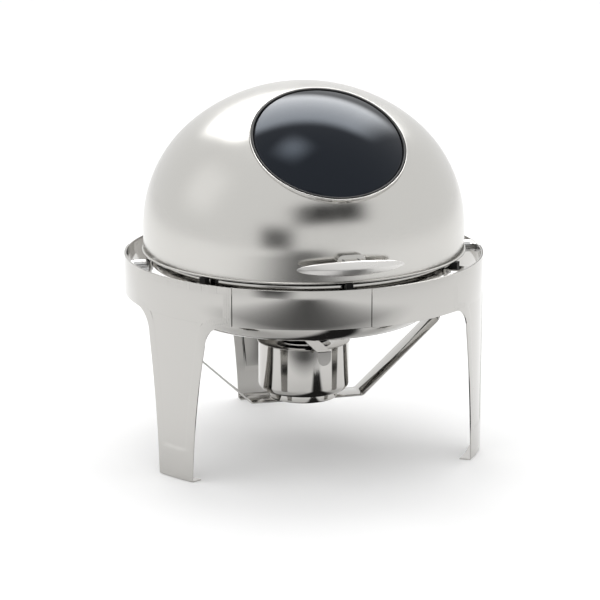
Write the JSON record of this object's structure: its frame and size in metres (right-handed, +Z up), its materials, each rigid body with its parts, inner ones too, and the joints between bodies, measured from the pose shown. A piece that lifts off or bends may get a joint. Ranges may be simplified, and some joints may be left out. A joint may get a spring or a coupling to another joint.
{
  "type": "roll top chafer",
  "caption": "Round stainless roll-top chafer: domed lid with round glass window rolls back into a legged ring over water and food pans and a fuel cup.",
  "frame": {"origin": "on the table, under the centre of the ring", "axes": "+Z up along the ring's axis, -Y towards the handle and front, X along the lid's hinge"},
  "size_m": [0.432, 0.432, 0.4443],
  "materials": {
    "satin_steel": "satin polished stainless steel",
    "mirror_steel": "mirror polished stainless steel",
    "plated_steel": "bright plated fastener",
    "smoked_glass": "smoked tempered glass",
    "black_rubber": "black silicone rubber",
    "nylon": "natural nylon"
  },
  "bodies": {
    "stand": {"ring_hoop": "mirror_steel", "band_front": "mirror_steel", "band_left": "mirror_steel", "band_right": "mirror_steel", "leg_left": "mirror_steel", "leg_right": "mirror_steel", "leg_back": "mirror_steel", "pan_frame": "mirror_steel", "frame_brackets": "mirror_steel", "fuel_hanger": "mirror_steel", "cup_base": "mirror_steel", "fuel_cup": "mirror_steel", "cup_cover": "mirror_steel", "leg_rivets": "plated_steel", "bracket_screws": "plated_steel", "hinge_pins": "plated_steel", "hinge_spacers": "plated_steel", "hinge_washers": "plated_steel", "hinge_nuts": "plated_steel", "cup_bolt": "plated_steel", "cup_nut": "plated_steel", "damper_rivet": "plated_steel", "lid_bumpers": "black_rubber"},
    "lid": {"dome_shell": "satin_steel", "ear_left": "satin_steel", "ear_right": "satin_steel", "hinge_bushes": "nylon", "window_glass": "smoked_glass", "window_trim": "mirror_steel", "window_gasket": "black_rubber", "window_retainer": "satin_steel", "retainer_studs": "plated_steel", "retainer_nuts": "plated_steel", "handle_bar": "satin_steel", "handle_post": "satin_steel", "handle_backing": "satin_steel", "handle_screws": "plated_steel"},
    "damper": {"damper": "mirror_steel"},
    "water_pan": {"water_pan": "mirror_steel"},
    "food_pan": {"food_pan": "satin_steel"}
  },
  "joints": [
    {"name": "lid_roll", "type": "hinge", "parent": "stand", "child": "lid", "pos_m": [0, 0, 0.233], "axis": [-1, 0, 0], "range_deg": [0, 90]},
    {"name": "damper_swivel", "type": "hinge", "parent": "stand", "child": "damper", "pos_m": [0, -0.0485, 0.128], "axis": [0, 0, 1], "range_deg": [0, 90]},
    {"name": "water_pan_lift", "type": "slide", "parent": "stand", "child": "water_pan", "axis": [0, 0, 1], "range_m": [0, 0.02]},
    {"name": "food_pan_lift", "type": "slide", "parent": "water_pan", "child": "food_pan", "axis": [0, 0, 1], "range_m": [0, 0.03]}
  ]
}
